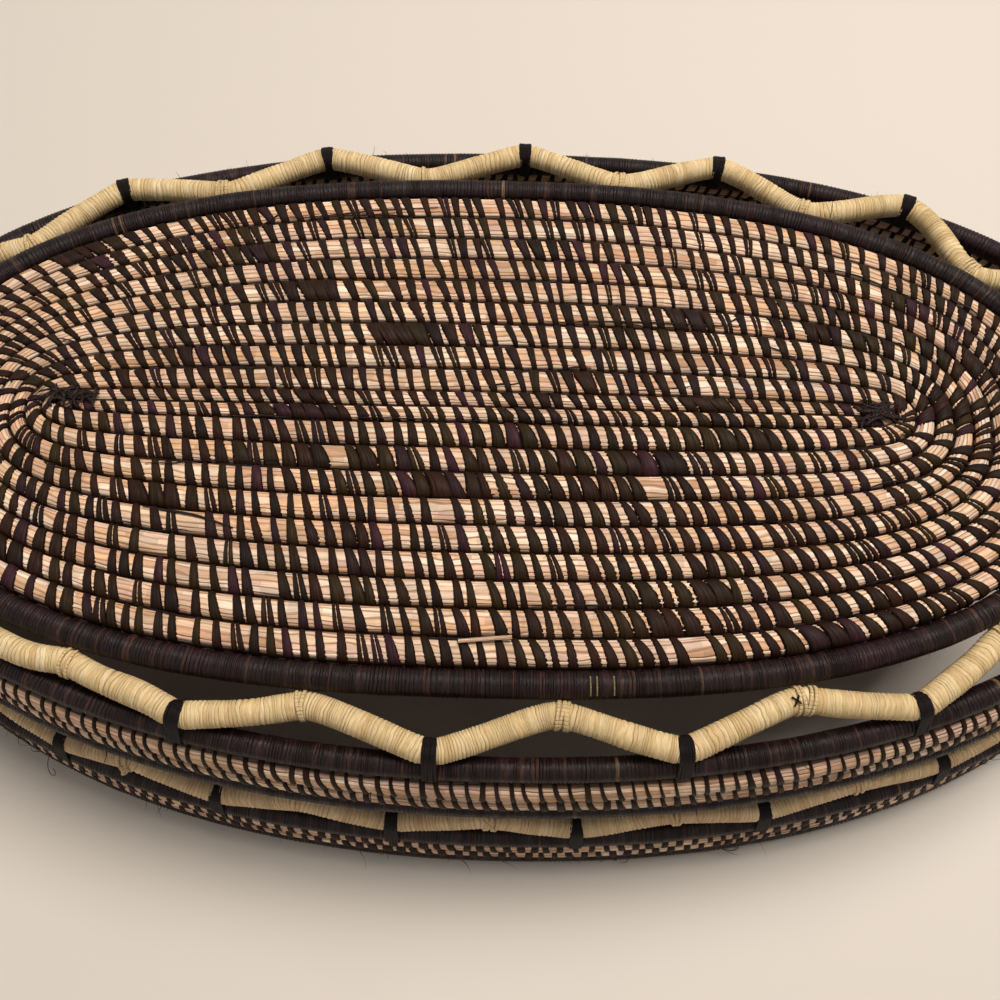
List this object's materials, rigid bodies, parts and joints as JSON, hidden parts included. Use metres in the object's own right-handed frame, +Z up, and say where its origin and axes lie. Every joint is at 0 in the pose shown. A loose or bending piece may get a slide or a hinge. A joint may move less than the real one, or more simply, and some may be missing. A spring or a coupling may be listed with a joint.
{
  "type": "woven basket",
  "caption": "Oblong coiled straw basket with dark stitched bands and openwork zigzag tiers in its wall, resting mouth down.",
  "frame": {"origin": "on the surface it rests on, under the middle of the basket", "axes": "+Z up from the mouth rim to the base, +X along the basket, the side seen in the picture faces -Y"},
  "size_m": [0.4024, 0.2222, 0.0749],
  "materials": {
    "straw_coil": "natural straw with dark stitching",
    "dark_raffia": "closely wrapped, soft sheen",
    "cream_raffia": "closely wrapped, matt"
  },
  "bodies": {
    "root": {"base_coil": "straw_coil", "base_rim": "dark_raffia", "upper_zigzag": "cream_raffia", "upper_tie_01": "dark_raffia", "upper_tie_02": "dark_raffia", "upper_tie_03": "dark_raffia", "upper_tie_04": "dark_raffia", "upper_tie_05": "dark_raffia", "upper_tie_06": "dark_raffia", "upper_tie_07": "dark_raffia", "upper_tie_08": "dark_raffia", "upper_tie_09": "dark_raffia", "upper_tie_10": "dark_raffia", "upper_tie_11": "dark_raffia", "upper_tie_12": "dark_raffia", "upper_tie_13": "dark_raffia", "upper_tie_14": "dark_raffia", "upper_tie_15": "dark_raffia", "upper_band_top_ring": "dark_raffia", "upper_band_coil": "straw_coil", "upper_band_bottom_ring": "dark_raffia", "lower_zigzag_1": "cream_raffia", "lower_zigzag_2": "cream_raffia", "lower_zigzag_3": "cream_raffia", "lower_zigzag_4": "cream_raffia", "lower_zigzag_5": "cream_raffia", "lower_tie_01": "dark_raffia", "lower_tie_02": "dark_raffia", "lower_tie_03": "dark_raffia", "lower_tie_04": "dark_raffia", "lower_tie_05": "dark_raffia", "lower_tie_06": "dark_raffia", "lower_tie_07": "dark_raffia", "lower_tie_08": "dark_raffia", "lower_tie_09": "dark_raffia", "lower_tie_10": "dark_raffia", "lower_tie_11": "dark_raffia", "lower_tie_12": "dark_raffia", "lower_tie_13": "dark_raffia", "lower_tie_14": "dark_raffia", "lower_tie_15": "dark_raffia", "lower_tie_16": "dark_raffia", "lower_tie_17": "dark_raffia", "lower_tie_18": "dark_raffia", "lower_tie_19": "dark_raffia", "lower_tie_20": "dark_raffia", "lower_band_top_ring": "dark_raffia", "lower_band_coil": "straw_coil", "mouth_rim": "dark_raffia"}
  },
  "joints": []
}
